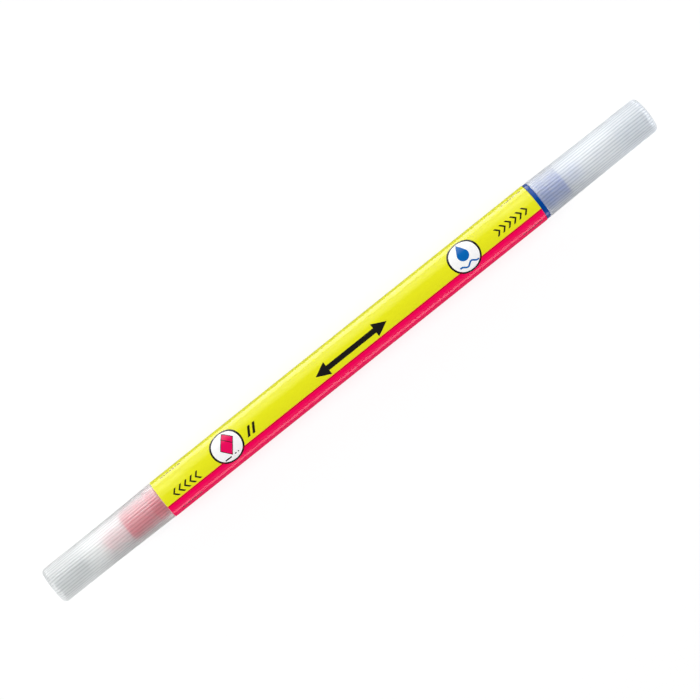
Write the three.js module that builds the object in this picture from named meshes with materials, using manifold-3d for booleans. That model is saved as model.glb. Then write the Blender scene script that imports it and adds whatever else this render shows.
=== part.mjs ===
// A double-ended ink eraser pen, capped at both ends and lying along X.
// The eraser end points to -X and the writing end to +X. The printed label's yellow half looks up, along +Z.
// All sizes are in millimetres, and the middle of the whole pen is the origin.

import * as THREE from "three";
import { mergeVertices } from "three/addons/utils/BufferGeometryUtils.js";
import Module from "manifold-3d";

const wasm = await Module();
wasm.setup();

// Barrel
const barrelLength = 94;
const barrelDiameter = 8.3;
const barrelWall = 0.65;
const counterboreStep = 0.22;
const counterboreDepth = 0.8;
const snapGrooveWidth = 1;
const snapGrooveDepth = 0.16;

// Printed label
const labelThickness = 0.1;
const labelMargin = 0.4;
const labelSplitAngle = 24;
const labelSeam = 0.2;

// Sections, which plug into the barrel's ends. Steps and walls are measured on the radius.
const plugLength = 8;
const collarWidth = 0.9;
const landLength = 2.5;
const noseStep = 0.55;
const stepChamfer = 0.25;
const eraserSeatLength = 6.6;
const eraserNoseLength = 5.1;
const eraserNoseWall = 0.67;
const inkSeatLength = 3.7;
const inkNoseLength = 4.3;
const inkNoseTaper = 0.4;
const inkNoseWall = 0.42;

// Nibs
const eraserNibReach = 3.2;
const chiselDrop = 1.7;
const chiselFlat = 0.6;
const inkNibDiameter = 1;
const inkNibReach = 1.6;
const inkNibPointDiameter = 0.5;
const inkNibPointLength = 1;
const inkNibRounding = 0.1;
const holderReach = 3.6;
const holderTipWall = 0.22;
const holderTailLength = 8;
const holderFlangeStep = 0.25;
const holderFlangeWidth = 0.5;
const nibTailLength = 4.2;

// Reservoirs and the plug between them
const reservoirGap = 0.2;
const reservoirWrapThickness = 0.18;
const centrePlugLength = 4;
const centrePlugWeb = 1.2;
const centrePlugRim = 0.9;

// Caps: both ends carry the same outer cap and the same inner cap
const capWall = 0.75;
const capTaper = 0.19;
const capEndStep = 0.3;
const capEndWall = 1;
const capEndSpace = 7.15;
const capCornerRadius = 0.9;
const capMouthChamfer = 0.15;
const ribCount = 40;
const ribDepth = 0.1;
const innerCapWall = 0.45;
const innerCapEndWall = 0.8;
const innerCapChamfer = 0.2;
const nibSpace = 1.15;

// Clearances
const slideClearance = 0.03;
const fitClearance = 0.02;
const labelClearance = 0.01;
const seatGap = 0.05;
const faceGap = 0.3;

// Facets round a turned piece, and along the curves of a cap
const facets = 32;
const columnsPerRib = 2;
const cornerSteps = 4;
const wallSteps = 6;

// Radii that follow from the sizes above, from the outside in
const barrelRadius = barrelDiameter / 2;
const barrelBoreRadius = barrelRadius - barrelWall;
const counterboreRadius = barrelBoreRadius + counterboreStep;
const plugRadius = barrelBoreRadius - fitClearance;
const reservoirRadius = barrelBoreRadius - reservoirGap;
const coreRadius = reservoirRadius - reservoirWrapThickness - fitClearance;
const capBoreRadius = barrelRadius - capWall;
const capEndBoreRadius = capBoreRadius - capEndStep;
const capEndRadius = barrelRadius - capTaper;
const innerCapRadius = capBoreRadius - fitClearance;
const innerCapBoreRadius = innerCapRadius - innerCapWall;
const landRadius = capBoreRadius - slideClearance;
const seatRadius = innerCapBoreRadius - slideClearance;
const noseRadius = seatRadius - noseStep;
const eraserBoreRadius = noseRadius - eraserNoseWall;
const eraserNibRadius = eraserBoreRadius - slideClearance;
const inkNoseTipRadius = noseRadius - inkNoseTaper;
const inkBoreRadius = inkNoseTipRadius - inkNoseWall;
const holderRadius = inkBoreRadius - slideClearance;
const inkNibRadius = inkNibDiameter / 2;
const holderBoreRadius = inkNibRadius + slideClearance;

// Places that follow. Those of an end are measured outward from the face that its cap's mouth meets.
const eraserNoseEnd = landLength + eraserSeatLength + eraserNoseLength;
const inkNoseEnd = landLength + inkSeatLength + inkNoseLength;
const eraserTip = eraserNoseEnd + eraserNibReach;
const inkHolderEnd = inkNoseEnd + seatGap + holderReach;
const inkTip = inkHolderEnd + inkNibReach;
const innerCapStart = landLength + faceGap;
const innerCapInside = Math.max(eraserTip, inkTip) + nibSpace;
const innerCapEnd = innerCapInside + innerCapEndWall;
const capStep = innerCapEnd + seatGap;
const capInside = capStep + capEndSpace;
const capEnd = capInside + capEndWall;
const snapGrooveInset = (plugLength - snapGrooveWidth) / 2;
const reservoirFront = -plugLength - faceGap;
const reservoirBack = -(barrelLength - centrePlugLength) / 2 + faceGap;
const nibTailEnd = reservoirFront - nibTailLength;

// Places along the whole pen
const overallLength = capEnd + barrelLength + collarWidth + capEnd;
const eraserFace = capEnd - overallLength / 2;
const inkFace = eraserFace + barrelLength;

const materials = {
  whitePlastic: new THREE.MeshStandardMaterial({ color: "#f1f1ee", roughness: 0.4, metalness: 0 }),
  yellowPrint: new THREE.MeshStandardMaterial({ color: "#e2e426", roughness: 0.25, metalness: 0 }),
  pinkPrint: new THREE.MeshStandardMaterial({ color: "#e8044e", roughness: 0.25, metalness: 0 }),
  pinkPlastic: new THREE.MeshStandardMaterial({ color: "#d9456b", roughness: 0.35, metalness: 0 }),
  bluePlastic: new THREE.MeshStandardMaterial({ color: "#0a4f9c", roughness: 0.3, metalness: 0 }),
  frostedPlastic: new THREE.MeshStandardMaterial({ color: "#dde0e2", roughness: 0.5, metalness: 0 }),
  whiteFibre: new THREE.MeshStandardMaterial({ color: "#f4f3ec", roughness: 0.9, metalness: 0 }),
  inkFibre: new THREE.MeshStandardMaterial({ color: "#16387f", roughness: 0.9, metalness: 0 }),
  wrapFilm: new THREE.MeshStandardMaterial({ color: "#e9ecee", roughness: 0.3, metalness: 0 }),
};

// The vertex radius of a facetted round whose flats lie at the given radius, so that they carry its true size.
function acrossFlats(radius) {
  return radius / Math.cos(Math.PI / facets);
}

// Twice the signed area of a profile of [x, radius] points.
function profileTurn(profile) {
  let sum = 0;
  profile.forEach(([x, radius], i) => {
    const [nextX, nextRadius] = profile[(i + 1) % profile.length];
    sum += x * nextRadius - nextX * radius;
  });
  return sum;
}

// Puts a profile in the order that turns its faces outward. It then runs from axis to axis, or ends where it began.
function closedProfile(profile) {
  const ordered = profileTurn(profile) < 0 ? [...profile] : [...profile].reverse();
  if (!ordered.some(([, radius]) => radius === 0)) {
    return [...ordered, ordered[0]];
  }
  while (ordered[0][1] !== 0 || ordered[ordered.length - 1][1] !== 0) {
    ordered.push(ordered.shift());
  }
  return ordered;
}

// Turns a closed profile about the X axis, with one flat facet facing straight down.
function lathe(profile, columns) {
  const points = profile.map(([x, radius]) => new THREE.Vector2(radius, x));
  return new THREE.LatheGeometry(points, columns, Math.PI / columns).rotateZ(-Math.PI / 2);
}

function turned(profile) {
  return lathe(closedProfile(profile), facets);
}

// Turns a profile of [x, radius, depth] points. The last column of each rib is sunk by the depth.
function ribbed(profile) {
  const closed = closedProfile(profile);
  const geometry = lathe(closed, ribCount * columnsPerRib);
  const positions = geometry.getAttribute("position");
  for (let i = 0; i < positions.count; i += 1) {
    const column = Math.floor(i / closed.length);
    const [, radius, depth = 0] = closed[i % closed.length];
    if (depth > 0 && column % columnsPerRib === columnsPerRib - 1) {
      const share = (radius - depth) / radius;
      positions.setY(i, positions.getY(i) * share);
      positions.setZ(i, positions.getZ(i) * share);
    }
  }
  return geometry;
}

// Points a profile that is given outward from a barrel end along +X or -X.
function facing(direction, profile) {
  return profile.map(([x, ...rest]) => [direction * x, ...rest]);
}

// Shared vertices are merged and the slivers on the axis are left out, so that the mesh is a closed solid.
function solidOf(geometry) {
  const bare = new THREE.BufferGeometry();
  bare.setAttribute("position", geometry.getAttribute("position"));
  bare.setIndex(geometry.getIndex());
  const merged = mergeVertices(bare);
  const corners = merged.getIndex().array;
  const triangles = [];
  for (let i = 0; i < corners.length; i += 3) {
    const [a, b, c] = corners.slice(i, i + 3);
    if (a !== b && b !== c && c !== a) {
      triangles.push(a, b, c);
    }
  }
  const vertProperties = new Float32Array(merged.getAttribute("position").array);
  const triVerts = new Uint32Array(triangles);
  return new wasm.Manifold(new wasm.Mesh({ numProp: 3, vertProperties, triVerts }));
}

function geometryOf(solid) {
  const mesh = solid.getMesh();
  const geometry = new THREE.BufferGeometry();
  geometry.setAttribute("position", new THREE.BufferAttribute(mesh.vertProperties, 3));
  geometry.setIndex(new THREE.BufferAttribute(mesh.triVerts, 1));
  geometry.computeVertexNormals();
  return geometry;
}

function piece(name, geometry, material) {
  const mesh = new THREE.Mesh(geometry, material);
  mesh.name = name;
  return mesh;
}

// The white tube, with a counterbore at its eraser end and a snap groove in the bore near each end.
function barrelTube() {
  const outerRadius = acrossFlats(barrelRadius);
  const grooveFloor = barrelBoreRadius + snapGrooveDepth;
  const groove = (start) => [
    [start, barrelBoreRadius],
    [start, grooveFloor],
    [start + snapGrooveWidth, grooveFloor],
    [start + snapGrooveWidth, barrelBoreRadius],
  ];
  const geometry = turned([
    [0, outerRadius],
    [0, counterboreRadius],
    [counterboreDepth, counterboreRadius],
    [counterboreDepth, barrelBoreRadius],
    ...groove(snapGrooveInset),
    ...groove(barrelLength - snapGrooveInset - snapGrooveWidth),
    [barrelLength, barrelBoreRadius],
    [barrelLength, outerRadius],
  ]);
  return piece("barrel_tube", geometry, materials.whitePlastic);
}

// Both halves of the printed skin: a thin ring, cut by the plane in which the two colours meet.
function labelFilms() {
  const inside = acrossFlats(barrelRadius + labelClearance);
  const outside = acrossFlats(barrelRadius + labelThickness);
  const labelEnd = barrelLength - labelMargin;
  const ring = solidOf(
    turned([
      [labelMargin, inside],
      [labelMargin, outside],
      [labelEnd, outside],
      [labelEnd, inside],
    ]),
  );
  const half = (side) => {
    const keep = new THREE.BoxGeometry(2 * barrelLength, 2 * barrelDiameter, barrelDiameter);
    keep.translate(0, 0, (side * (barrelDiameter + labelSeam)) / 2);
    keep.rotateX(THREE.MathUtils.degToRad(labelSplitAngle - 90));
    return geometryOf(ring.intersect(solidOf(keep)));
  };
  return [
    piece("yellow_label_film", half(1), materials.yellowPrint),
    piece("pink_label_film", half(-1), materials.pinkPrint),
  ];
}

// The wall between the two fluids: a disc whose rim stands out on both sides, toward the reservoirs.
function centrePlug() {
  const rimEnd = centrePlugLength / 2;
  const webEnd = centrePlugWeb / 2;
  const rimInside = plugRadius - centrePlugRim;
  const geometry = turned([
    [-webEnd, 0],
    [-webEnd, rimInside],
    [-rimEnd, rimInside],
    [-rimEnd, plugRadius],
    [rimEnd, plugRadius],
    [rimEnd, rimInside],
    [webEnd, rimInside],
    [webEnd, 0],
  ]);
  const plug = piece("centre_plug", geometry, materials.whitePlastic);
  plug.position.x = barrelLength / 2;
  return plug;
}

// The length of a section that is pressed into the barrel, with the bead that sits in the snap groove.
function plugProfile(boreRadius) {
  const beadRadius = plugRadius + snapGrooveDepth;
  const beadStart = -snapGrooveInset - snapGrooveWidth + slideClearance;
  const beadEnd = -snapGrooveInset - slideClearance;
  return [
    [-plugLength, boreRadius],
    [-plugLength, plugRadius - stepChamfer],
    [-plugLength + stepChamfer, plugRadius],
    [beadStart, plugRadius],
    [beadStart + snapGrooveDepth, beadRadius],
    [beadEnd - snapGrooveDepth, beadRadius],
    [beadEnd, plugRadius],
  ];
}

// The steps that carry a cap: a land at the outer cap's mouth, a seat in the inner cap, and a nose.
function seatProfile(start, seatLength, noseLength, noseTipRadius) {
  const landEnd = start + landLength;
  const seatEnd = landEnd + seatLength;
  const noseEnd = seatEnd + noseLength;
  return [
    [start, landRadius],
    [landEnd - stepChamfer, landRadius],
    [landEnd, landRadius - stepChamfer],
    [landEnd, seatRadius],
    [seatEnd - stepChamfer, seatRadius],
    [seatEnd, seatRadius - stepChamfer],
    [seatEnd, noseRadius],
    [noseEnd - stepChamfer, noseTipRadius],
    [noseEnd, noseTipRadius - stepChamfer],
  ];
}

// The pink section. Its collar lies in the barrel's counterbore, flush with the barrel's end.
function eraserSection(direction) {
  const collarRadius = counterboreRadius - fitClearance;
  const collarStart = fitClearance - counterboreDepth;
  const profile = [
    ...plugProfile(eraserBoreRadius),
    [collarStart, plugRadius],
    [collarStart, collarRadius],
    [0, collarRadius],
    ...seatProfile(0, eraserSeatLength, eraserNoseLength, noseRadius),
    [eraserNoseEnd, eraserBoreRadius],
  ];
  return piece("eraser_section", turned(facing(direction, profile)), materials.pinkPlastic);
}

// The blue section. Its collar stands against the barrel's end and shows as a ring beside the cap.
function inkSection(direction) {
  const collarRadius = acrossFlats(barrelRadius);
  const profile = [
    ...plugProfile(inkBoreRadius),
    [fitClearance, plugRadius],
    [fitClearance, collarRadius],
    [collarWidth, collarRadius],
    ...seatProfile(collarWidth, inkSeatLength, inkNoseLength, inkNoseTipRadius),
    [collarWidth + inkNoseEnd, inkBoreRadius],
  ];
  return piece("ink_section", turned(facing(direction, profile)), materials.bluePlastic);
}

// A wedge that reaches past a rod's tip and leaves a slanted face, with a short flat at the tip.
function chiselWedge(direction) {
  const reach = eraserNibRadius;
  const tipHeight = chiselFlat - eraserNibRadius;
  const backSlope = chiselDrop / (eraserNibRadius - tipHeight);
  const top = eraserNibRadius + reach;
  const wedge = new THREE.Shape([
    new THREE.Vector2(direction * eraserTip, tipHeight),
    new THREE.Vector2(direction * (eraserTip + reach), tipHeight),
    new THREE.Vector2(direction * (eraserTip + reach), top),
    new THREE.Vector2(direction * (eraserTip - backSlope * (top - tipHeight)), top),
  ]);
  const width = 2 * (eraserNibRadius + reach);
  const geometry = new THREE.ExtrudeGeometry(wedge, { depth: width, bevelEnabled: false });
  geometry.translate(0, 0, -width / 2);
  return geometry.rotateX(Math.PI / 2);
}

// The eraser's fibre rod. It runs from the reservoir through the section to a broad chisel tip.
function eraserNib(direction) {
  const profile = [
    [nibTailEnd, 0],
    [nibTailEnd, eraserNibRadius - stepChamfer],
    [nibTailEnd + stepChamfer, eraserNibRadius],
    [eraserTip - stepChamfer, eraserNibRadius],
    [eraserTip, eraserNibRadius - stepChamfer],
    [eraserTip, 0],
  ];
  const rod = solidOf(turned(facing(direction, profile)));
  const nib = rod.subtract(solidOf(chiselWedge(direction)));
  return piece("eraser_nib", geometryOf(nib), materials.whiteFibre);
}

// The white holder: a tail in the section's bore, a flange on the section's nose and a taper to the point.
function inkNibHolder(direction) {
  const noseEnd = collarWidth + inkNoseEnd;
  const flangeStart = noseEnd + seatGap;
  const flangeEnd = flangeStart + holderFlangeWidth;
  const flangeRadius = holderRadius + holderFlangeStep;
  const holderEnd = collarWidth + inkHolderEnd;
  const tailStart = noseEnd - holderTailLength;
  const profile = [
    [tailStart, holderBoreRadius],
    [tailStart, holderRadius],
    [flangeStart, holderRadius],
    [flangeStart, flangeRadius],
    [flangeEnd, flangeRadius],
    [flangeEnd, holderRadius],
    [holderEnd, holderBoreRadius + holderTipWall],
    [holderEnd, holderBoreRadius],
  ];
  return piece("ink_nib_holder", turned(facing(direction, profile)), materials.whitePlastic);
}

// The fine blue nib. It runs from the ink reservoir through the holder to a rounded point.
function inkNib(direction) {
  const tip = collarWidth + inkTip;
  const pointRadius = inkNibPointDiameter / 2;
  const profile = [
    [nibTailEnd, 0],
    [nibTailEnd, inkNibRadius],
    [tip - inkNibPointLength, inkNibRadius],
    [tip - inkNibRounding, pointRadius],
    [tip, pointRadius - inkNibRounding],
    [tip, 0],
  ];
  return piece("ink_nib", turned(facing(direction, profile)), materials.bluePlastic);
}

// A fibre rod with a pocket for the nib's tail, and the thin film that wraps it.
function reservoir(name, direction, nibRadius, coreMaterial) {
  const pocketRadius = nibRadius + slideClearance;
  const pocketEnd = nibTailEnd - faceGap;
  const wrapInside = coreRadius + fitClearance;
  const core = [
    [reservoirBack, 0],
    [reservoirBack, coreRadius],
    [reservoirFront, coreRadius],
    [reservoirFront, pocketRadius],
    [pocketEnd, pocketRadius],
    [pocketEnd, 0],
  ];
  const wrap = [
    [reservoirBack, wrapInside],
    [reservoirBack, reservoirRadius],
    [reservoirFront, reservoirRadius],
    [reservoirFront, wrapInside],
  ];
  return [
    piece(`${name}_reservoir_core`, turned(facing(direction, core)), coreMaterial),
    piece(`${name}_reservoir_wrap`, turned(facing(direction, wrap)), materials.wrapFilm),
  ];
}

// The frosted outer cap. Its wall narrows quickly at the mouth and slowly toward the closed end, and its ribs
// fade out round the end's corner. A step in the bore stops the inner cap.
function outerCap(name, direction) {
  const wallEnd = capEnd - capCornerRadius;
  const wallRadius = (x) => capEndRadius + capTaper * (1 - x / wallEnd) ** 2;
  const profile = [
    [seatGap, capBoreRadius + capMouthChamfer],
    [seatGap, wallRadius(seatGap) - capMouthChamfer],
  ];
  const wallStart = seatGap + capMouthChamfer;
  for (let i = 0; i <= wallSteps; i += 1) {
    const x = wallStart + ((wallEnd - wallStart) * i) / wallSteps;
    profile.push([x, wallRadius(x), ribDepth]);
  }
  for (let i = 1; i <= cornerSteps; i += 1) {
    const angle = ((Math.PI / 2) * i) / cornerSteps;
    const x = wallEnd + capCornerRadius * Math.sin(angle);
    const radius = capEndRadius - capCornerRadius * (1 - Math.cos(angle));
    profile.push([x, radius, ribDepth * Math.cos(angle)]);
  }
  profile.push(
    [capEnd, 0],
    [capInside, 0],
    [capInside, capEndBoreRadius],
    [capStep, capEndBoreRadius],
    [capStep, capBoreRadius],
    [wallStart, capBoreRadius],
  );
  return piece(name, ribbed(facing(direction, profile)), materials.frostedPlastic);
}

// The sealing cup inside a cap, which closes round the section's seat.
function innerCap(name, direction) {
  const profile = [
    [innerCapStart, innerCapBoreRadius + innerCapChamfer],
    [innerCapStart, innerCapRadius],
    [innerCapEnd - innerCapChamfer, innerCapRadius],
    [innerCapEnd, innerCapRadius - innerCapChamfer],
    [innerCapEnd, 0],
    [innerCapInside, 0],
    [innerCapInside, innerCapBoreRadius],
    [innerCapStart + innerCapChamfer, innerCapBoreRadius],
  ];
  return piece(name, turned(facing(direction, profile)), materials.frostedPlastic);
}

function group(x, ...pieces) {
  const placed = new THREE.Group();
  placed.position.x = x;
  placed.add(...pieces);
  return placed;
}

const toEraser = -1;
const toInk = 1;

const pen = new THREE.Group();
pen.add(
  group(eraserFace, barrelTube(), ...labelFilms(), centrePlug()),
  group(
    eraserFace,
    eraserSection(toEraser),
    eraserNib(toEraser),
    ...reservoir("eraser", toEraser, eraserNibRadius, materials.whiteFibre),
    outerCap("eraser_cap", toEraser),
    innerCap("eraser_inner_cap", toEraser),
  ),
  group(
    inkFace,
    inkSection(toInk),
    inkNibHolder(toInk),
    inkNib(toInk),
    ...reservoir("ink", toInk, inkNibRadius, materials.inkFibre),
    group(collarWidth, outerCap("writer_cap", toInk), innerCap("writer_inner_cap", toInk)),
  ),
);

export default pen;
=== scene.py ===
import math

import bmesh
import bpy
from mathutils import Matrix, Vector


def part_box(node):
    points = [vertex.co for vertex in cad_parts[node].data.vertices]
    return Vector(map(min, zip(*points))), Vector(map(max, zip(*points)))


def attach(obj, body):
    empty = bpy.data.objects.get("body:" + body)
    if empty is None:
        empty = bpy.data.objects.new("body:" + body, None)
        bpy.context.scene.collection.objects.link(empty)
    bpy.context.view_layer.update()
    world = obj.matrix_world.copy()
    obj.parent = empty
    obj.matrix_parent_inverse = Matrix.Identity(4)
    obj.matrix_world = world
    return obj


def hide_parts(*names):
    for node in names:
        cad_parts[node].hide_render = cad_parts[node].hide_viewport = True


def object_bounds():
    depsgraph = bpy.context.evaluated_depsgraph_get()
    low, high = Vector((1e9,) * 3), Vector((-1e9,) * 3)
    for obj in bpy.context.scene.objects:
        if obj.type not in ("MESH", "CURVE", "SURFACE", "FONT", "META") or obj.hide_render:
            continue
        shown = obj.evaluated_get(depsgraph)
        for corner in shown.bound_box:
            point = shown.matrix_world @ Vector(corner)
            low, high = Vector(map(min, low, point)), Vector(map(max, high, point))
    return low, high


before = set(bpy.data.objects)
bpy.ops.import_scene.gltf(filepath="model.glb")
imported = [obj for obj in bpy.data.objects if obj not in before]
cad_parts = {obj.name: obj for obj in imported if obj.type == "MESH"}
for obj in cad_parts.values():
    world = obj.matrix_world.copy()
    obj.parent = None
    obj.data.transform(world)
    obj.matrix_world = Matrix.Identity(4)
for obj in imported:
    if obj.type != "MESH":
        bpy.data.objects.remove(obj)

# The looks of a double-ended ink eraser pen, built round its CAD model.
# The pen lies along X with the eraser end at -X, and the yellow half of its print looks up, along +Z.
# Sizes are in millimetres, and meshes are turned into metres when they are made.
# Places of a section's pieces are measured outward from the barrel's end, and those of a cap's pieces
# from the face that the cap's mouth meets.

CAD_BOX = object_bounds()
MM = 0.001

# Barrel and print. The colours meet SPLIT_ANGLE degrees from the top line, on the near side, -Y.
BARREL_RADIUS = 4.15
BARREL_BORE = 3.5
COUNTERBORE_RADIUS = 3.72
COUNTERBORE_DEPTH = 0.8
RIM_ROUNDING = 0.12
FINE_ROUNDING = 0.04
SKIN_INSIDE = 4.16
SKIN_OUTSIDE = 4.232
SKIN_MARGIN = 0.04
SKIN_SEAM = 0.01
SPLIT_ANGLE = 24

# Printed motifs. Their places are (x, length along the skin from its top line toward +Y).
INK_THICKNESS = 0.005
INK_STRIP = 0.12
SIGN_RADIUS = 3.55
SIGN_LINE = 0.4
ERASER_SIGN = (-30.97, 0.33)
WRITER_SIGN = (28.7, 0.4)
RUBBER_OFFSET = (0.3, 0.4)
RUBBER_LENGTH = 3.7
RUBBER_HEIGHT = 2.5
RUBBER_LEAN = 0.12
RUBBER_LINE = 0.14
RUBBER_BAND_PLACE = 0.55
RUBBER_TURN = 52
DROP_RADIUS = 1.25
DROP_HEIGHT = 2.6
DROP_OFFSET = 0.35
WAVE_OFFSET = -1.85
WAVE_HEIGHT = 0.32
WAVE_RADIANS_PER_MM = 2.6
WAVE_LINE = 0.36
ARROW_REACH = 8.9
ARROW_HEAD = 3.0
ARROW_HALF_WIDTH = 1.5
ARROW_HALF_SHAFT = 0.55
CHEVRON_PITCH = 1.35
DASH_LENGTHS = (0.55, 0.3, 0.7, 0.4)
DASH_COUNT = 7
DASH_GAP = 0.22
DASH_WIDTH = 0.26
DASH_ROW_STARTS = (-45.1, 40.6)
OVERPRINT_WIDTH = 0.26
OVERPRINT_GAP = 0.06
OVERPRINT_MARGIN = 0.05

# Sections and nibs
COLLAR_WIDTH = 0.9
COLLAR_CLEARANCE = 0.02
COLLAR_ROUNDING = 0.07
PLUG_LENGTH = 8
PLUG_RADIUS = 3.48
PLUG_CHAMFER = 0.25
LAND_LENGTH = 2.5
LAND_RADIUS = 3.37
SEAT_RADIUS = 2.94
NOSE_RADIUS = 2.35
STEP_ROUNDING = 0.25
INNER_STEP_ROUNDING = 0.08
ERASER_SEAT_LENGTH = 6.6
ERASER_NOSE_LENGTH = 5.1
ERASER_BORE = 1.68
INK_SEAT_LENGTH = 3.7
INK_NOSE_LENGTH = 4.3
INK_NOSE_TIP_RADIUS = 1.95
INK_BORE = 1.53
NIB_TAIL = 4.5
CHISEL_RADIUS = 1.65
CHISEL_REACH = 3.2
CHISEL_ROOT = 0.4
CHISEL_DROP = 1.7
CHISEL_FLAT = 0.6
HOLDER_GAP = 0.05
HOLDER_REACH = 3.6
HOLDER_TAIL = 8
HOLDER_RADIUS = 1.5
HOLDER_FLANGE_RADIUS = 1.75
HOLDER_FLANGE_WIDTH = 0.5
HOLDER_TIP_RADIUS = 0.75
HOLDER_BORE = 0.53
FINE_NIB_REACH = 1.6
FINE_NIB_RADIUS = 0.5
FINE_NIB_POINT_RADIUS = 0.25
FINE_NIB_POINT_LENGTH = 1
ERASER_TIP = LAND_LENGTH + ERASER_SEAT_LENGTH + ERASER_NOSE_LENGTH + CHISEL_REACH
INK_NOSE_END = COLLAR_WIDTH + LAND_LENGTH + INK_SEAT_LENGTH + INK_NOSE_LENGTH

# Caps. Whatever is nearer the axis than CAP_INSIDE is bore or end face, and has no ribs.
CAP_LENGTH = 27.55
CAP_MOUTH_GAP = 0.05
CAP_END_RADIUS = 3.96
CAP_TAPER = 0.19
CAP_BORE = 3.4
CAP_INSIDE = CAP_BORE + 0.2
CAP_END_BORE = 3.1
CAP_STEP = 19.4
CAP_END_WALL = 1
CAP_CORNER = 0.9
CAP_MOUTH_ROUNDING = 0.12
CAP_DISH_RADIUS = 2.2
CAP_DISH_DEPTH = 0.12
GATE_RADIUS = 0.45
GATE_HEIGHT = 0.06
LINER_START = 2.8
LINER_RADIUS = 3.38
LINER_BORE = 2.93
LINER_END_WALL = 0.8
LINER_TIP_ROOM = 1.15
RIB_COUNT = 40
RIB_DEPTH = 0.05
RIB_SHARPNESS = 1.5
RIB_FADE_AT_MOUTH = 0.3
GROOVE_ATTRIBUTE = "groove"

# Mesh fineness
COLUMNS = 128
SLIM_COLUMNS = 96
NIB_COLUMNS = 48
COLUMNS_PER_RIB = 10
WALL_ROWS = 36
CORNER_ROWS = 8
CHISEL_ROWS = 14
FILLET_STEPS = 4
DISC_STEPS = 72
SHARP_ANGLE = 32

# Materials. NOISE_LOW and NOISE_HIGH are the range that Blender's noise mostly keeps to.
NOISE_LOW = 0.3
NOISE_HIGH = 0.7
VARNISH_REFRACTION = 1.6
# The grooves' share is painted shade that darkens the caps' colour between their ribs; the streaks' share
# is random tone.
GROOVE_SHADE_SHARE = 0.9
STREAK_TONE_SHARE = 0.12

# Camera, floor and light
LENS = 152.33
SENSOR_WIDTH = 36
PEN_TILT = 38.64
CAMERA_PLACE = (-15.13, 0.01, 585)
CAMERA_TARGET = (-0.17, 0.01, 0)
FLOOR_HALF_SIZE = 6000
OWN_LIGHT_SEEN = 0.78
OWN_LIGHT_IN_GLASS = 0.38
CAP_MIDDLE = 62.5
LIGHT_BOUNCES = 24
BRIGHTEST_INDIRECT = 3


def place(node, high):
    """The lowest or highest X of a CAD node, in millimetres."""
    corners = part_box(node)
    return corners[1 if high else 0].x / MM


BARREL_START = place("barrel_tube", high=False)
BARREL_END = place("barrel_tube", high=True)
ERASER_FACE = BARREL_START
WRITER_FACE = BARREL_END + COLLAR_WIDTH


def to_linear(red, green, blue):
    """A colour as the picture's 0 to 255 values, turned into the linear one that shaders take."""
    def channel(value):
        share = value / 255
        return share / 12.92 if share <= 0.04045 else ((share + 0.055) / 1.055) ** 2.4
    return (channel(red), channel(green), channel(blue), 1)


def grey(level):
    """A linear grey."""
    return (level, level, level, 1)


# Node helpers. An owner is a material or the world.

def new_material(name):
    """A material with its node tree's Principled shader."""
    material = bpy.data.materials.new(name)
    material.use_nodes = True
    return material, material.node_tree.nodes["Principled BSDF"]


def set_inputs(owner, node, inputs):
    """Sets a node's inputs. Each takes a value, or the socket of another node."""
    for name, value in inputs.items():
        if isinstance(value, bpy.types.NodeSocket):
            owner.node_tree.links.new(value, node.inputs[name])
        else:
            node.inputs[name].default_value = value


def add_node(owner, kind, inputs=None):
    node = owner.node_tree.nodes.new(kind)
    set_inputs(owner, node, inputs or {})
    return node


def calculated(material, operation, *values):
    """The result of a Math node on values or sockets."""
    node = add_node(material, "ShaderNodeMath", dict(enumerate(values)))
    node.operation = operation
    return node.outputs[0]


def stretched_noise(material, size, stretch=1.0, detail=3.0):
    """Noise whose spots are about size millimetres across, and stretch times as long along the pen."""
    coordinates = add_node(material, "ShaderNodeTexCoord")
    mapping = add_node(material, "ShaderNodeMapping", {
        "Vector": coordinates.outputs["Object"],
        "Scale": (1 / stretch, 1, 1),
    })
    noise = add_node(material, "ShaderNodeTexNoise", {
        "Vector": mapping.outputs["Vector"],
        "Scale": 1 / (size * MM),
        "Detail": detail,
    })
    return noise.outputs["Fac"]


def between(material, factor, low, high):
    """A number that goes from low to high as a factor goes through the range of noise."""
    mapped = add_node(material, "ShaderNodeMapRange", {
        "Value": factor,
        "From Min": NOISE_LOW,
        "From Max": NOISE_HIGH,
        "To Min": low,
        "To Max": high,
    })
    return mapped.outputs["Result"]


def ramp(owner, factor, stops):
    """A colour that follows a factor through stops of (place, colour)."""
    node = add_node(owner, "ShaderNodeValToRGB", {"Fac": factor})
    elements = node.color_ramp.elements
    for element, (position, colour) in zip(elements, stops):
        element.position = position
        element.color = colour
    return node.outputs["Color"]


def shaded(colour, share):
    """A colour made darker or lighter by a share."""
    return tuple(min(1, channel * share) for channel in colour[:3]) + (1,)


def varied(material, factor, colour, spread):
    """A colour that goes from a little darker to a little lighter with noise."""
    return ramp(material, factor, [
        (NOISE_LOW, shaded(colour, 1 - spread)),
        (NOISE_HIGH, shaded(colour, 1 + spread)),
    ])


def mottled(material, colour, size, spread, stretch=1.0):
    """A colour that wanders a little to both sides of the given one, in spots."""
    return varied(material, stretched_noise(material, size, stretch), colour, spread)


def bump(material, height, depth):
    """Normals for a relief that is depth millimetres high."""
    node = add_node(material, "ShaderNodeBump", {"Height": height, "Distance": depth * MM})
    return node.outputs["Normal"]


# Materials

def moulded_plastic(name, colour, subsurface, roughness=0.31, gloss=0.35):
    """Smooth injection-moulded plastic with a faint flow mottle and a fine satin grain."""
    material, shader = new_material(name)
    patches = stretched_noise(material, 1.5, 3)
    set_inputs(material, shader, {
        "Base Color": mottled(material, colour, size=3, spread=0.03, stretch=4),
        "Roughness": between(material, patches, roughness - 0.05, roughness + 0.05),
        "Normal": bump(material, stretched_noise(material, 0.12), 0.004),
        "IOR": 1.5,
        "Specular IOR Level": gloss,
        "Subsurface Weight": subsurface,
        "Subsurface Radius": (1.0, 0.8, 0.7),
        "Subsurface Scale": 0.4 * MM,
    })
    return material


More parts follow.
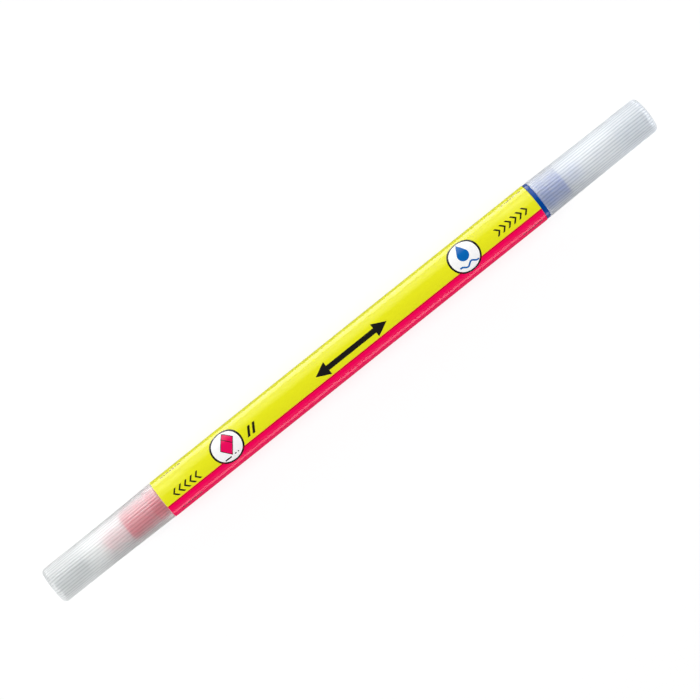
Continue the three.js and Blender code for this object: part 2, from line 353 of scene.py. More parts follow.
def printed(name, colour, gloss=0.42, gloss_blur=0.17, painted_glow=0):
    """Print of one colour under clear varnish, with the faint waviness of a rolled-on coat.

    Painted glow is painted light: an emission of the ink's own colour that makes it brighter than the
    lamps light it.
    """
    material, shader = new_material(name)
    set_inputs(material, shader, {
        "Base Color": mottled(material, colour, size=0.25, spread=0.025),
        "Specular IOR Level": 0,
        "Roughness": 0.6,
        # The emission is painted light, a glow that lifts the ink above what the lamps give it.
        "Emission Color": colour,
        "Emission Strength": painted_glow,
        "Coat Weight": gloss,
        "Coat IOR": VARNISH_REFRACTION,
        "Coat Roughness": gloss_blur,
        "Coat Normal": bump(material, stretched_noise(material, 1.6, 2.5, 1), 0.0012),
    })
    return material


def ribbed_frost(name, crest_colour, groove_shade_colour, haze, gloss):
    """See-through plastic with a dull skin, duller still in the grooves between its ribs, where its colour
    is also darker as painted shade.

    The mesh's groove attribute is 0 on a rib's crest and 1 in a groove. Haze is the share of light
    that the skin scatters.
    """
    material, shader = new_material(name)
    grooves = add_node(material, "ShaderNodeAttribute")
    grooves.attribute_name = GROOVE_ATTRIBUTE
    # The colour darkens into the grooves as painted shade, and wanders a little along lengthwise streaks.
    streaks = calculated(material, "MULTIPLY", stretched_noise(material, 1.2, 5), STREAK_TONE_SHARE)
    groove_shade_and_streaks = calculated(material, "MULTIPLY_ADD", grooves.outputs["Fac"], GROOVE_SHADE_SHARE, streaks)
    set_inputs(material, shader, {
        "Base Color": ramp(material, groove_shade_and_streaks, [(0.05, crest_colour), (0.95, groove_shade_colour)]),
        "Roughness": between(material, groove_shade_and_streaks, 0.33, 0.43),
        "IOR": 1.4,
        "Transmission Weight": 1 - haze,
        "Coat Weight": gloss,
        "Coat IOR": VARNISH_REFRACTION,
        "Coat Roughness": 0.3,
    })
    return material


def clear_plastic(name, colour, haze, roughness, refraction=1.49):
    """See-through plastic. Haze is the share of light that its surface scatters."""
    material, shader = new_material(name)
    patches = stretched_noise(material, 0.8, 4)
    set_inputs(material, shader, {
        "Base Color": mottled(material, colour, size=2, spread=0.015, stretch=5),
        "Roughness": between(material, patches, roughness - 0.04, roughness + 0.04),
        "IOR": refraction,
        "Specular IOR Level": 0.05,
        "Transmission Weight": 1 - haze,
    })
    return material


def bonded_fibre(name, colour, spread):
    """Fibres pressed into a rod, which run along it."""
    material, shader = new_material(name)
    streaks = stretched_noise(material, 0.07, 14, 6)
    set_inputs(material, shader, {
        "Base Color": varied(material, streaks, colour, spread),
        "Roughness": between(material, streaks, 0.8, 0.95),
        "Normal": bump(material, streaks, 0.02),
        "Sheen Weight": 0.2,
        "Sheen Roughness": 0.5,
    })
    return material


def clear_film(name, colour):
    """Thin, slightly hazy film with lengthwise draw lines."""
    material, shader = new_material(name)
    set_inputs(material, shader, {
        "Base Color": mottled(material, colour, size=1, spread=0.02, stretch=10),
        "Roughness": between(material, stretched_noise(material, 0.3, 20), 0.12, 0.25),
        "Transmission Weight": 0.7,
        "IOR": 1.45,
    })
    return material


WHITE_PLASTIC = moulded_plastic("white_plastic", to_linear(240, 240, 237), 0.3)
PINK_PLASTIC = moulded_plastic("pink_plastic", to_linear(200, 26, 66), 0.2)
BLUE_PLASTIC = moulded_plastic("blue_plastic", to_linear(0, 72, 158), 0.02, roughness=0.16, gloss=0.17)
# Each frost's groove colour is painted shade between the ribs.
FROSTED_WARM = ribbed_frost("frosted_plastic", to_linear(250, 252, 252), to_linear(198, 201, 203),
                            haze=0.17, gloss=1)
# The writer cap's bluish tint is painted light, standing in for the blue section's light that the frosted
# plastic scatters.
FROSTED_COOL = ribbed_frost("frosted_plastic_cool", to_linear(246, 250, 254), to_linear(190, 197, 207),
                            haze=0.34, gloss=0.8)
CAP_BORE_FINISH = clear_plastic("cap_bore_finish", to_linear(226, 228, 228), haze=0.02, roughness=0.26,
                                refraction=1.32)
LINER_FINISH = clear_plastic("liner_finish", to_linear(219, 220, 220), haze=0.02, roughness=0.9,
                             refraction=1.45)
LINER_BORE_FINISH = clear_plastic("liner_bore_finish", to_linear(230, 230, 230), haze=0.35,
                                  roughness=0.8)
YELLOW_PRINT = printed("yellow_print", to_linear(244, 243, 30))
# The pink print gets painted glow: emission that makes it brighter than the lamps light it.
PINK_PRINT = printed("pink_print", to_linear(255, 0, 92), gloss=0.2, gloss_blur=0.14, painted_glow=0.09)
RED_OVERPRINT = printed("red_overprint", to_linear(214, 18, 44), gloss=0.3)
BLACK_INK = printed("black_ink", to_linear(26, 26, 24))
# This light brownish grey is painted highlight: it stands in for the gloss that washes out dark marks on
# the lit yellow side.
GREY_INK = printed("grey_ink", to_linear(120, 84, 60))
# The white and pink inks get painted glow: emission that makes them brighter than the lamps light them.
WHITE_INK = printed("white_ink", to_linear(255, 255, 255), painted_glow=0.08)
PINK_INK = printed("pink_ink", to_linear(236, 6, 92), painted_glow=0.09)
BLUE_INK = printed("blue_ink", to_linear(0, 105, 188))
WHITE_FIBRE = bonded_fibre("white_fibre", to_linear(244, 243, 236), 0.04)
INK_FIBRE = bonded_fibre("ink_fibre", to_linear(22, 56, 127), 0.2)
WRAP_FILM = clear_film("wrap_film", to_linear(233, 236, 238))


# Mesh helpers

def filleted(profile):
    """Rounds the corners of a closed profile of (x, radius) or (x, radius, rounding) points."""
    rounded = []
    for index, (x, radius, *rest) in enumerate(profile):
        corner = Vector((x, radius))
        rounding = rest[0] if rest else 0
        if rounding == 0:
            rounded.append(corner)
            continue
        before = Vector(profile[index - 1][:2]) - corner
        after = Vector(profile[(index + 1) % len(profile)][:2]) - corner
        half = before.angle(after) / 2
        reach = min(rounding / math.tan(half), 0.49 * before.length, 0.49 * after.length)
        start = corner + before.normalized() * reach
        end = corner + after.normalized() * reach
        for step in range(FILLET_STEPS + 1):
            share = step / FILLET_STEPS
            rounded.append(start.lerp(corner, share).lerp(corner.lerp(end, share), share))
    return rounded


def facing(direction, start, profile):
    """Places a profile that is given outward from an X place, along +X or -X."""
    return [(start + direction * x, *rest) for x, *rest in profile]


def around(x, radius, angle):
    """A point on a round about the pen's axis. The angle is taken from +Z toward +Y, in radians."""
    return Vector((x, radius * math.sin(angle), radius * math.cos(angle)))


def off_axis(point):
    """How far a point is from the pen's axis."""
    return math.hypot(point.y, point.z)


def finished(name, mesh_data, materials, body, nodes=()):
    """Turns a bmesh in millimetres into a piece that rides on a body and stands for CAD nodes."""
    bmesh.ops.remove_doubles(mesh_data, verts=mesh_data.verts, dist=1e-6)
    bmesh.ops.recalc_face_normals(mesh_data, faces=mesh_data.faces)
    bmesh.ops.scale(mesh_data, verts=mesh_data.verts, vec=(MM, MM, MM))
    mesh = bpy.data.meshes.new(name)
    mesh_data.to_mesh(mesh)
    mesh_data.free()
    for material in materials:
        mesh.materials.append(material)
    mesh.shade_smooth()
    mesh.set_sharp_from_angle(angle=math.radians(SHARP_ANGLE))
    piece = bpy.data.objects.new(name, mesh)
    bpy.context.scene.collection.objects.link(piece)
    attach(piece, body)
    if nodes:
        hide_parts(*nodes)
    return piece


def turned(profile, columns=COLUMNS, sink=None, sector=(0, 2 * math.pi)):
    """Turns a closed profile about the pen's axis into a bmesh.

    sink(x, radius, angle) is how far a point is sunk, and sector is the part of the round that is made.
    """
    start, end = sector
    whole = math.isclose(end - start, 2 * math.pi)
    mesh_data = bmesh.new()
    rings = []
    for column in range(columns if whole else columns + 1):
        angle = start + (end - start) * column / columns
        ring = []
        for x, radius in profile:
            depth = sink(x, radius, angle) if sink else 0
            ring.append(mesh_data.verts.new(around(x, radius - depth, angle)))
        rings.append(ring)
    count = len(profile)
    for column in range(columns):
        here, there = rings[column], rings[(column + 1) % len(rings)]
        for index in range(count):
            after = (index + 1) % count
            if profile[index][1] > 0 or profile[after][1] > 0:
                mesh_data.faces.new((here[index], here[after], there[after], there[index]))
    if not whole:
        mesh_data.faces.new(rings[0])
        mesh_data.faces.new(rings[-1])
    return mesh_data


# Barrel and print

def barrel_shell():
    """The white tube, with rounded rims and the counterbore that takes the pink section's collar."""
    profile = filleted([
        (BARREL_START, BARREL_RADIUS, RIM_ROUNDING),
        (BARREL_START, COUNTERBORE_RADIUS, FINE_ROUNDING),
        (BARREL_START + COUNTERBORE_DEPTH, COUNTERBORE_RADIUS),
        (BARREL_START + COUNTERBORE_DEPTH, BARREL_BORE),
        (BARREL_END, BARREL_BORE, FINE_ROUNDING),
        (BARREL_END, BARREL_RADIUS, RIM_ROUNDING),
    ])
    finished("barrel_shell", turned(profile), [WHITE_PLASTIC], "pen_body",
             ["barrel_tube"])


def print_skin(name, side, material, node):
    """One half of the printed skin. The yellow half is side 0 and the pink half side 1."""
    seam = SKIN_SEAM / 2 / SKIN_OUTSIDE
    start = math.radians(180 * side - SPLIT_ANGLE) + seam
    end = math.radians(180 * (side + 1) - SPLIT_ANGLE) - seam
    profile = filleted([
        (BARREL_START + SKIN_MARGIN, SKIN_INSIDE),
        (BARREL_START + SKIN_MARGIN, SKIN_OUTSIDE, FINE_ROUNDING),
        (BARREL_END - SKIN_MARGIN, SKIN_OUTSIDE, FINE_ROUNDING),
        (BARREL_END - SKIN_MARGIN, SKIN_INSIDE),
    ])
    finished(name, turned(profile, sector=(start, end)), [material], "pen_body", [node])


def cut_into_strips(flat):
    """Cuts a flat outline across Y, so that it can follow the round."""
    across = [vertex.co.y for vertex in flat.verts]
    low, high = min(across), max(across)
    strips = max(2, round((high - low) / INK_STRIP))
    for strip in range(1, strips):
        level = low + (high - low) * strip / strips
        geometry = flat.verts[:] + flat.edges[:] + flat.faces[:]
        bmesh.ops.bisect_plane(flat, geom=geometry, dist=1e-5,
                               plane_co=(0, level, 0), plane_no=(0, 1, 0))
    bmesh.ops.triangulate(flat, faces=[face for face in flat.faces if len(face.verts) > 4])
    flat.verts.index_update()


def wrapped(outlines, layer):
    """Lays flat outlines of (x, across) points round the print as thin, closed ink.

    across is the length along the skin from its top line toward +Y, and layer counts the ink below.
    The ink's foot is half a layer deep in what it lies on.
    """
    inside = SKIN_OUTSIDE + (layer - 0.5) * INK_THICKNESS
    outside = SKIN_OUTSIDE + (layer + 1) * INK_THICKNESS
    result = bmesh.new()
    for outline in outlines:
        flat = bmesh.new()
        flat.faces.new([flat.verts.new((x, across, 0)) for x, across in outline])
        cut_into_strips(flat)
        angles = [(v.co.x, v.co.y / SKIN_OUTSIDE) for v in flat.verts]
        top = [result.verts.new(around(x, outside, angle)) for x, angle in angles]
        foot = [result.verts.new(around(x, inside, angle)) for x, angle in angles]
        for face in flat.faces:
            corners = [v.index for v in face.verts]
            result.faces.new([top[i] for i in corners])
            result.faces.new([foot[i] for i in reversed(corners)])
        for edge in flat.edges:
            if len(edge.link_faces) == 1:
                a, b = (v.index for v in edge.verts)
                result.faces.new((top[a], top[b], foot[b], foot[a]))
        flat.free()
    return result


def arc_points(radius, turns):
    return [(radius * math.cos(turn), radius * math.sin(turn)) for turn in turns]


def moved(outline, x, across, turn_degrees=0):
    """An outline about its own origin, turned and put at a place on the print."""
    turn = math.radians(turn_degrees)
    cos, sin = math.cos(turn), math.sin(turn)
    return [(x + u * cos - v * sin, across + u * sin + v * cos) for u, v in outline]


def disc_outline(centre, radius):
    turns = [2 * math.pi * step / DISC_STEPS for step in range(DISC_STEPS)]
    return moved(arc_points(radius, turns), *centre)


def box_outline(width, height, lean=0):
    """A box about its own origin, whose top leans along its width by a share of its height."""
    shift = lean * height
    return [(-width / 2 - shift, -height / 2), (width / 2 - shift, -height / 2),
            (width / 2 + shift, height / 2), (-width / 2 + shift, height / 2)]


def stroke_outline(points, width):
    """The outline of a line of even width through points."""
    left, right = [], []
    for index, point in enumerate(points):
        before = Vector(points[max(index - 1, 0)])
        after = Vector(points[min(index + 1, len(points) - 1)])
        along = (after - before).normalized()
        offset = Vector((-along.y, along.x)) * width / 2
        left.append(tuple(Vector(point) + offset))
        right.append(tuple(Vector(point) - offset))
    return left + right[::-1]


def ink_layer(name, outlines, layer, material):
    finished(name, wrapped(outlines, layer), [material], "pen_body")


def overprint_line():
    """The deeper red where the yellow runs a little under the pink, along their meeting line."""
    meeting_line = -math.radians(SPLIT_ANGLE) * SKIN_OUTSIDE
    middle = meeting_line - OVERPRINT_GAP - OVERPRINT_WIDTH / 2
    length = BARREL_END - BARREL_START - 2 * (SKIN_MARGIN + OVERPRINT_MARGIN)
    strip = moved(box_outline(length, OVERPRINT_WIDTH), (BARREL_START + BARREL_END) / 2, middle)
    ink_layer("overprint_line", [strip], 0, RED_OVERPRINT)


def sign_discs():
    """A ringed white disc toward each end."""
    centres = [ERASER_SIGN, WRITER_SIGN]
    rings = [disc_outline(centre, SIGN_RADIUS) for centre in centres]
    ink_layer("sign_rings", rings, 0, BLACK_INK)
    grounds = [disc_outline(centre, SIGN_RADIUS - SIGN_LINE) for centre in centres]
    ink_layer("sign_grounds", grounds, 1, WHITE_INK)


def rubber_sign():
    """A rubber with a band, and the remains of the line that it rubs out."""
    sign_x, sign_across = ERASER_SIGN
    centre = (sign_x + RUBBER_OFFSET[0], sign_across + RUBBER_OFFSET[1])
    edge = box_outline(RUBBER_LENGTH, RUBBER_HEIGHT, RUBBER_LEAN)
    block = box_outline(RUBBER_LENGTH - 2 * RUBBER_LINE, RUBBER_HEIGHT - 2 * RUBBER_LINE, RUBBER_LEAN)
    band = box_outline(RUBBER_LINE, RUBBER_HEIGHT - 0.1, RUBBER_LEAN)
    band_centre = moved([(RUBBER_BAND_PLACE, 0)], *centre, RUBBER_TURN)[0]
    ink_layer("eraser_sign_edge", [moved(edge, *centre, RUBBER_TURN)], 2, BLACK_INK)
    ink_layer("eraser_sign_block", [moved(block, *centre, RUBBER_TURN)], 2.3, PINK_INK)
    ink_layer("eraser_sign_band", [moved(band, *band_centre, RUBBER_TURN)], 2.55, BLACK_INK)
    long_rest = moved(box_outline(1.5, 0.3), sign_x - 1.2, sign_across - 2.2)
    short_rest = moved(box_outline(0.4, 0.24), sign_x + 0.6, sign_across - 2.15)
    last_rest = moved(box_outline(0.3, 0.2), sign_x + 1.3, sign_across - 2.15)
    ink_layer("eraser_sign_line", [long_rest, short_rest, last_rest], 2, BLACK_INK)


def drop_sign():
    """A pointed drop over a wave."""
    sign_x, sign_across = WRITER_SIGN
    turns = [math.radians(degrees) for degrees in range(155, 386, 7)]
    drop = [(0, DROP_HEIGHT)] + arc_points(DROP_RADIUS, turns)
    ink_layer("writer_sign_drop", [moved(drop, sign_x, sign_across + DROP_OFFSET)], 2, BLUE_INK)
    tenths = [step / 10 for step in range(-21, 22)]
    crests = [(x, WAVE_HEIGHT * math.sin(x * WAVE_RADIANS_PER_MM)) for x in tenths]
    wave = stroke_outline(crests, WAVE_LINE)
    ink_layer("writer_sign_wave", [moved(wave, sign_x, sign_across + WAVE_OFFSET)], 2, BLUE_INK)


def middle_arrow():
    """A double-headed arrow along the pen."""
    neck = ARROW_REACH - ARROW_HEAD
    arrow = [(-ARROW_REACH, 0), (-neck, -ARROW_HALF_WIDTH), (-neck, -ARROW_HALF_SHAFT),
             (neck, -ARROW_HALF_SHAFT), (neck, -ARROW_HALF_WIDTH), (ARROW_REACH, 0),
             (neck, ARROW_HALF_WIDTH), (neck, ARROW_HALF_SHAFT),
             (-neck, ARROW_HALF_SHAFT), (-neck, ARROW_HALF_WIDTH)]
    ink_layer("middle_arrow", [arrow], 0, BLACK_INK)


def end_chevrons():
    """Chevrons that point to each end."""
    chevron = [(0, 0), (0.8, 0.85), (1.25, 0.85), (0.45, 0), (1.25, -0.85), (0.8, -0.85)]
    left = [moved(chevron, -45 + CHEVRON_PITCH * step, -0.5) for step in range(5)]
    right = [moved(chevron, 44.3 - CHEVRON_PITCH * step, 0, 180) for step in range(6)]
    ink_layer("end_chevrons", left + right, 0, BLACK_INK)


def width_strokes():
    """Two slanted strokes beside the rubber's sign."""
    stroke = [(-0.9, -0.95), (-0.3, -0.95), (0.9, 0.95), (0.3, 0.95)]
    ink_layer("width_strokes", [moved(stroke, x, 0) for x in (-25.7, -24.5)], 0, BLACK_INK)


def dash_rows(name, across, ink):
    """A row of fine dashes at each end of the print."""
    dashes = []
    for x in DASH_ROW_STARTS:
        for count in range(DASH_COUNT):
            length = DASH_LENGTHS[count % len(DASH_LENGTHS)]
            dashes.append(moved(box_outline(length, DASH_WIDTH), x + length / 2, across))
            x += length + DASH_GAP
    ink_layer(name, dashes, 0, ink)


# Sections and nibs

def plug_profile(bore):
    """The length that is pressed into the barrel."""
    return [
        (-PLUG_LENGTH, bore),
        (-PLUG_LENGTH, PLUG_RADIUS - PLUG_CHAMFER),
        (-PLUG_LENGTH + PLUG_CHAMFER, PLUG_RADIUS),
    ]


def seat_profile(start, seat_length, nose_length, nose_tip_radius, bore):
    """The steps that carry a cap: a land, a seat and a nose, with moulded roundings."""
    land_end = start + LAND_LENGTH
    seat_end = land_end + seat_length
    nose_end = seat_end + nose_length
    return [
        (start, LAND_RADIUS, 0.05),
        (land_end, LAND_RADIUS, 0.22),
        (land_end, SEAT_RADIUS, INNER_STEP_ROUNDING),
        (seat_end, SEAT_RADIUS, STEP_ROUNDING),
        (seat_end, NOSE_RADIUS, INNER_STEP_ROUNDING),
        (nose_end, nose_tip_radius, STEP_ROUNDING),
        (nose_end, bore, INNER_STEP_ROUNDING),
    ]


def pink_section():
    """The eraser end's section. Its collar lies in the barrel's counterbore."""
    collar = COUNTERBORE_RADIUS - COLLAR_CLEARANCE
    collar_start = COLLAR_CLEARANCE - COUNTERBORE_DEPTH
    profile = plug_profile(ERASER_BORE)
    profile += [(collar_start, PLUG_RADIUS), (collar_start, collar), (0, collar, 0.05)]
    profile += seat_profile(0, ERASER_SEAT_LENGTH, ERASER_NOSE_LENGTH, NOSE_RADIUS, ERASER_BORE)
    mesh_data = turned(filleted(facing(-1, BARREL_START, profile)))
    finished("pink_section", mesh_data, [PINK_PLASTIC], "pen_body", ["eraser_section"])


def blue_section():
    """The writing end's section. Its collar stands against the barrel's end and shows beside the cap."""
    profile = plug_profile(INK_BORE)
    profile += [
        (COLLAR_CLEARANCE, PLUG_RADIUS),
        (COLLAR_CLEARANCE, BARREL_RADIUS, COLLAR_ROUNDING),
        (COLLAR_WIDTH, BARREL_RADIUS, COLLAR_ROUNDING),
    ]
    profile += seat_profile(COLLAR_WIDTH, INK_SEAT_LENGTH, INK_NOSE_LENGTH, INK_NOSE_TIP_RADIUS,
                            INK_BORE)
    mesh_data = turned(filleted(facing(1, BARREL_END, profile)))
    finished("blue_section", mesh_data, [BLUE_PLASTIC], "pen_body", ["ink_section"])


def chisel_nib():
    """The eraser's fibre rod, whose tip is ground to a slanted chisel with a soft edge."""
    root = ERASER_TIP - CHISEL_REACH + CHISEL_ROOT
    last_row = ERASER_TIP - 0.3
    tail = -PLUG_LENGTH - NIB_TAIL
    profile = [(tail, 0), (tail, CHISEL_RADIUS, 0.25)]
    for row in range(CHISEL_ROWS + 1):
        profile.append((root + (last_row - root) * row / CHISEL_ROWS, CHISEL_RADIUS))
    profile.append((ERASER_TIP, CHISEL_RADIUS, 0.2))
    profile += [(ERASER_TIP, CHISEL_RADIUS * share) for share in (0.8, 0.6, 0.4, 0.2, 0)]
    mesh_data = turned(filleted(facing(-1, 0, profile)))
    slope = CHISEL_DROP / (2 * CHISEL_RADIUS - CHISEL_FLAT)
    for vertex in mesh_data.verts:
        share = max(0, (-vertex.co.x - root) / (ERASER_TIP - root))
        above = max(0, vertex.co.z - (CHISEL_FLAT - CHISEL_RADIUS))
        vertex.co.x += share * slope * above
    bmesh.ops.translate(mesh_data, verts=mesh_data.verts, vec=(BARREL_START, 0, 0))
    finished("chisel_nib", mesh_data, [WHITE_FIBRE], "pen_body", ["eraser_nib"])


def nib_holder():
    """The white holder on the blue section's nose, which narrows to the fine nib."""
    tail = INK_NOSE_END - HOLDER_TAIL
    flange_start = INK_NOSE_END + HOLDER_GAP
    flange_end = flange_start + HOLDER_FLANGE_WIDTH
    end = flange_start + HOLDER_REACH
    profile = [
        (tail, HOLDER_BORE),
        (tail, HOLDER_RADIUS, 0.1),
        (flange_start, HOLDER_RADIUS),
        (flange_start, HOLDER_FLANGE_RADIUS, 0.08),
        (flange_end, HOLDER_FLANGE_RADIUS, 0.12),
        (flange_end, HOLDER_RADIUS, 0.1),
        (end, HOLDER_TIP_RADIUS, 0.15),
        (end, HOLDER_BORE, 0.05),
    ]
    mesh_data = turned(filleted(facing(1, BARREL_END, profile)), SLIM_COLUMNS)
    finished("nib_holder", mesh_data, [WHITE_PLASTIC], "pen_body", ["ink_nib_holder"])


def fine_nib():
    """The blue point, a thin rod that reaches back into the ink."""
    tip = INK_NOSE_END + HOLDER_GAP + HOLDER_REACH + FINE_NIB_REACH
    tail = -PLUG_LENGTH - NIB_TAIL
    profile = [
        (tail, 0),
        (tail, FINE_NIB_RADIUS, 0.1),
        (tip - FINE_NIB_POINT_LENGTH, FINE_NIB_RADIUS, 0.3),
        (tip, FINE_NIB_POINT_RADIUS, 0.18),
        (tip, 0),
    ]
    mesh_data = turned(filleted(facing(1, BARREL_END, profile)), NIB_COLUMNS)
    finished("fine_nib", mesh_data, [INK_FIBRE], "pen_body", ["ink_nib"])


# Caps

def cap_wall_radius(x):
    """The cap narrows quickly at its mouth and slowly toward its closed end."""
    share = min(x, CAP_LENGTH - CAP_CORNER) / (CAP_LENGTH - CAP_CORNER)
    return CAP_END_RADIUS + CAP_TAPER * (1 - share) ** 2


def cap_profile():
    """The outer cap, outward from its mouth: wall, rounded end, dished face with its gate, and bore."""
    wall_start = CAP_MOUTH_GAP + CAP_MOUTH_ROUNDING
    wall_end = CAP_LENGTH - CAP_CORNER
    profile = [(CAP_MOUTH_GAP, CAP_BORE + CAP_MOUTH_ROUNDING),
               (CAP_MOUTH_GAP, cap_wall_radius(0) - CAP_MOUTH_ROUNDING)]
    for row in range(WALL_ROWS + 1):
        x = wall_start + (wall_end - wall_start) * row / WALL_ROWS
        profile.append((x, cap_wall_radius(x)))
    for row in range(1, CORNER_ROWS + 1):
        angle = math.pi / 2 * row / CORNER_ROWS
        profile.append((wall_end + CAP_CORNER * math.sin(angle),
                        CAP_END_RADIUS - CAP_CORNER * (1 - math.cos(angle))))
    inside = CAP_LENGTH - CAP_END_WALL
    dish = CAP_LENGTH - CAP_DISH_DEPTH
    profile += filleted([
        (CAP_LENGTH, CAP_DISH_RADIUS + 0.3),
        (CAP_LENGTH, CAP_DISH_RADIUS, 0.1),
        (dish, CAP_DISH_RADIUS - 0.15, 0.1),
        (dish, GATE_RADIUS + 0.08, 0.05),
        (dish + GATE_HEIGHT, GATE_RADIUS, 0.03),
        (dish + GATE_HEIGHT, 0),
        (inside, 0),
        (inside, CAP_END_BORE, 0.3),
        (CAP_STEP, CAP_END_BORE, 0.08),
        (CAP_STEP, CAP_BORE, 0.05),
        (wall_start, CAP_BORE),
    ])
    return profile


def groove_share(x, radius, angle):
    """0 on a rib's crest and 1 in a groove. Grooves fade out round the end's corner and at the mouth."""
    if radius < CAP_INSIDE:
        return 0
    corner = max(0, x - (CAP_LENGTH - CAP_CORNER)) / CAP_CORNER
    fade = math.sqrt(max(0, 1 - corner ** 2))
    mouth = min(1, max(0, (x - CAP_MOUTH_GAP) / RIB_FADE_AT_MOUTH))
    wave = 0.5 - 0.5 * math.cos(RIB_COUNT * angle)
    return fade * mouth * wave ** RIB_SHARPNESS


def rib_sink(x, radius, angle):
    return RIB_DEPTH * groove_share(x, radius, angle)


def finished_cap(name, mesh_data, materials, body, node):
    """A piece of a cap, which casts no shadow, so that light reaches what it covers."""
    piece = finished(name, mesh_data, materials, body, [node])
    piece.visible_shadow = False


def cap(name, direction, mouth, material, body, node):
    """The outer cap. Its bore has a finish of its own."""
    mesh_data = turned(cap_profile(), RIB_COUNT * COLUMNS_PER_RIB, sink=rib_sink)
    for face in mesh_data.faces:
        middle = face.calc_center_median()
        if off_axis(middle) < CAP_INSIDE and middle.x < CAP_LENGTH - CAP_END_WALL / 2:
            face.material_index = 1
    groove = mesh_data.verts.layers.float.new(GROOVE_ATTRIBUTE)
    for vertex in mesh_data.verts:
        x, y, z = vertex.co
        vertex[groove] = groove_share(x, math.hypot(y, z), math.atan2(y, z))
        vertex.co.x = mouth + direction * x
    finished_cap(name, mesh_data, [material, CAP_BORE_FINISH], body, node)


def liner(name, direction, mouth, body, node):
    """The sealing cup inside a cap, which closes round the section's seat. Both ends have the same one."""
    inside = ERASER_TIP + LINER_TIP_ROOM
    end = inside + LINER_END_WALL
    profile = [
        (LINER_START, LINER_BORE, 0.15),
        (LINER_START, LINER_RADIUS, 0.2),
        (end, LINER_RADIUS, 0.3),
        (end, 0),
        (inside, 0),
        (inside, LINER_BORE, 0.3),
    ]
    mesh_data = turned(filleted(facing(direction, mouth, profile)), SLIM_COLUMNS)
    for face in mesh_data.faces:
        middle = face.calc_center_median()
        if off_axis(middle) < LINER_BORE + 0.2 and abs(middle.x - mouth) < inside + 0.1:
            face.material_index = 1
    finished_cap(name, mesh_data, [LINER_FINISH, LINER_BORE_FINISH], body, node)


# Hidden CAD pieces

def dress_hidden_nodes():
    """The reservoirs and the plug keep their CAD solids and get finished materials."""
    finishes = {
        "centre_plug": WHITE_PLASTIC,
        "eraser_reservoir_core": WHITE_FIBRE,
        "eraser_reservoir_wrap": WRAP_FILM,
        "ink_reservoir_core": INK_FIBRE,
        "ink_reservoir_wrap": WRAP_FILM,
    }
    for node, material in finishes.items():
        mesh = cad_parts[node].data
        mesh.materials.clear()
        mesh.materials.append(material)


# Floor, light and camera

def floor_material():
    """A matt white that gives part of its own light, less in gloss and glass than to the camera.

    The light that it sends on to matt surfaces is plain diffuse. From below the table is clear.
    """
    material, shader = new_material("floor")
    rays = add_node(material, "ShaderNodeLightPath")
    in_gloss_or_glass = calculated(material, "MAXIMUM", rays.outputs["Is Glossy Ray"],
                                   rays.outputs["Is Transmission Ray"])
    seen = calculated(material, "MAXIMUM", rays.outputs["Is Camera Ray"], in_gloss_or_glass)
    own_light = add_node(material, "ShaderNodeMapRange", {
        "Value": rays.outputs["Is Camera Ray"],
        "To Min": OWN_LIGHT_IN_GLASS,
        "To Max": OWN_LIGHT_SEEN,
    })
    set_inputs(material, shader, {
        "Base Color": grey(0.27),
        "Roughness": 1,
        "Specular IOR Level": 0,
        "Emission Color": grey(1),
        "Emission Strength": own_light.outputs["Result"],
    })
    diffuse = add_node(material, "ShaderNodeBsdfDiffuse", {"Color": grey(0.85)})
    by_ray = add_node(material, "ShaderNodeMixShader", {
        0: seen, 1: diffuse.outputs[0], 2: shader.outputs[0]})
    sides = add_node(material, "ShaderNodeNewGeometry")
    clear = add_node(material, "ShaderNodeBsdfTransparent")
    one_sided = add_node(material, "ShaderNodeMixShader", {
        0: sides.outputs["Backfacing"], 1: by_ray.outputs[0], 2: clear.outputs[0]})
    output = material.node_tree.nodes["Material Output"]
    set_inputs(material, output, {"Surface": one_sided.outputs[0]})
    return material


def floor():
    """A pale table under the pen. Most of its white is its own, so that the pen's shadow stays soft."""
    low = CAD_BOX[0].z
    reach = FLOOR_HALF_SIZE * MM
    corners = [(-reach, -reach), (reach, -reach), (reach, reach), (-reach, reach)]
    mesh = bpy.data.meshes.new("floor")
    mesh.from_pydata([(x, y, low) for x, y in corners], [], [(0, 1, 2, 3)])
    mesh.materials.append(floor_material())
    table = bpy.data.objects.new("floor", mesh)
    bpy.context.scene.collection.objects.link(table)


def softbox(name, spot, target, size, radiance, gloss_only=False):
    """A rectangular lamp of even brightness at a spot, which looks at a target."""
    width, height = size
    lamp = bpy.data.lights.new(name, "AREA")
    lamp.shape = "RECTANGLE"
    lamp.size = width * MM
    lamp.size_y = height * MM
    lamp.energy = radiance * math.pi * lamp.size * lamp.size_y
    holder = bpy.data.objects.new(name, lamp)
    holder.location = Vector(spot) * MM
    holder.rotation_mode = "QUATERNION"
    holder.rotation_quaternion = (Vector(spot) - Vector(target)).to_track_quat("Z", "Y")
    holder.visible_camera = False
    holder.visible_diffuse = not gloss_only
    holder.visible_transmission = not gloss_only
    bpy.context.scene.collection.objects.link(holder)


def surroundings():
    """White low round the table, and dim overhead."""
    world = bpy.data.worlds.new("studio")
    bpy.context.scene.world = world
    world.use_nodes = True
    coordinates = add_node(world, "ShaderNodeTexCoord")
    split = add_node(world, "ShaderNodeSeparateXYZ", {0: coordinates.outputs["Generated"]})
    heights = ramp(world, split.outputs["Z"], [(0.1, grey(1)), (0.3, grey(0.12))])
    set_inputs(world, world.node_tree.nodes["Background"], {"Color": heights, "Strength": 1})


def room_lamps():
    """Large lamps beyond the pen's ends, and a low one behind it."""
    middle = (0, 0, 0)
    softbox("left_end_lamp", (-420, 0, 420), middle, size=(420, 300), radiance=4.5)
    softbox("right_end_lamp", (420, 0, 420), middle, size=(420, 300), radiance=4.5)
    softbox("far_side_lamp", (0, 380, 190), middle, size=(700, 260), radiance=0.7)


def highlight(name, spot, target, size, radiance):
    """A lamp close beside the pen that is seen only in gloss, and so draws a highlight along it."""
    softbox(name, spot, target, size, radiance, gloss_only=True)


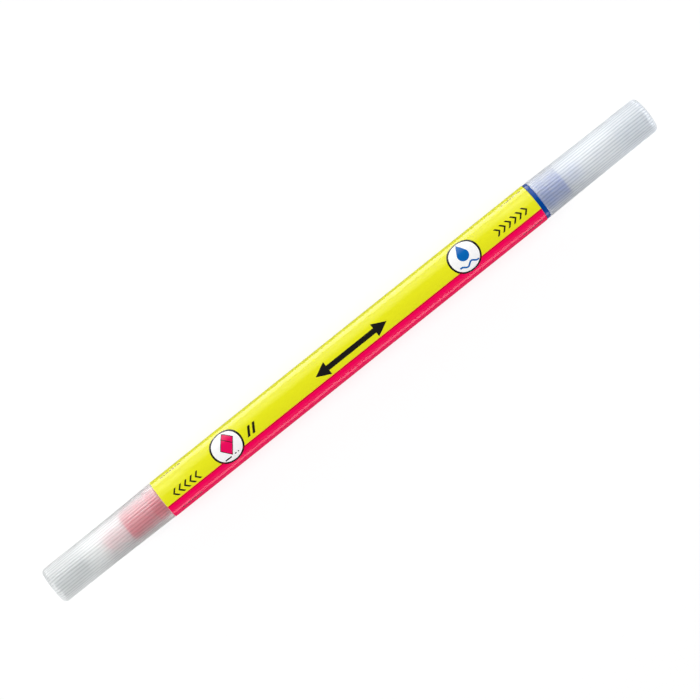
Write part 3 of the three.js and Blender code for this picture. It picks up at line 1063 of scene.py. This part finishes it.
def highlights():
    """Low bars and higher panels for the barrel, then for each cap."""
    highlight("far_side_bar", (0, 14, -0.7), (0, 0, -0.7), size=(98, 7), radiance=7.8)
    highlight("far_side_panel", (0, 30, 12), (0, 0, 0), size=(160, 20), radiance=1.15)
    highlight("far_side_tall_panel", (0, 30, 16), (0, 0, 0), size=(160, 34), radiance=1.5)
    highlight("near_side_bar", (0, -14, -0.5), (0, 0, -0.5), size=(98, 4), radiance=6.2)
    for end, x in (("eraser", -CAP_MIDDLE), ("writer", CAP_MIDDLE)):
        highlight(end + "_cap_low_bar", (x, 14, -0.7), (x, 0, -0.7), size=(31, 7), radiance=2.8)
        highlight(end + "_cap_panel", (x, 22, 26), (x, 0, 0), size=(33, 34), radiance=1.85)


def camera():
    """The photograph's view: from above, with the pen tilted in the picture."""
    data = bpy.data.cameras.new("camera")
    data.lens = LENS
    data.sensor_width = SENSOR_WIDTH
    data.clip_start = 0.01
    data.clip_end = 50
    holder = bpy.data.objects.new("camera", data)
    bpy.context.scene.collection.objects.link(holder)
    back = (Vector(CAMERA_PLACE) - Vector(CAMERA_TARGET)).normalized()
    tilt = math.radians(PEN_TILT)
    up_hint = Vector((math.sin(tilt), math.cos(tilt), 0))
    right = up_hint.cross(back).normalized()
    up = back.cross(right)
    rotation = Matrix((right, up, back)).transposed().to_4x4()
    holder.matrix_world = Matrix.Translation(Vector(CAMERA_PLACE) * MM) @ rotation
    bpy.context.scene.camera = holder


def light_paths():
    """Light crosses many faces on its way through a cap, so its paths are long."""
    cycles = bpy.context.scene.cycles
    cycles.max_bounces = LIGHT_BOUNCES
    cycles.transmission_bounces = LIGHT_BOUNCES
    cycles.glossy_bounces = LIGHT_BOUNCES
    cycles.sample_clamp_indirect = BRIGHTEST_INDIRECT


barrel_shell()
print_skin("yellow_print_skin", 0, YELLOW_PRINT, "yellow_label_film")
print_skin("pink_print_skin", 1, PINK_PRINT, "pink_label_film")
overprint_line()
sign_discs()
rubber_sign()
drop_sign()
middle_arrow()
end_chevrons()
width_strokes()
# The yellow side's marks are lightened by painted highlight through their grey ink.
dash_rows("yellow_marks", 4.2, GREY_INK)
dash_rows("pink_marks", -4.3, BLACK_INK)
pink_section()
blue_section()
chisel_nib()
nib_holder()
fine_nib()
cap("eraser_cap_shell", -1, ERASER_FACE, FROSTED_WARM, "eraser_cap_body", "eraser_cap")
liner("eraser_cap_liner", -1, ERASER_FACE, "eraser_cap_body", "eraser_inner_cap")
cap("writer_cap_shell", 1, WRITER_FACE, FROSTED_COOL, "writer_cap_body", "writer_cap")
liner("writer_cap_liner", 1, WRITER_FACE, "writer_cap_body", "writer_inner_cap")
dress_hidden_nodes()
floor()
surroundings()
room_lamps()
highlights()
camera()
bpy.context.scene.view_settings.view_transform = "Standard"
light_paths()
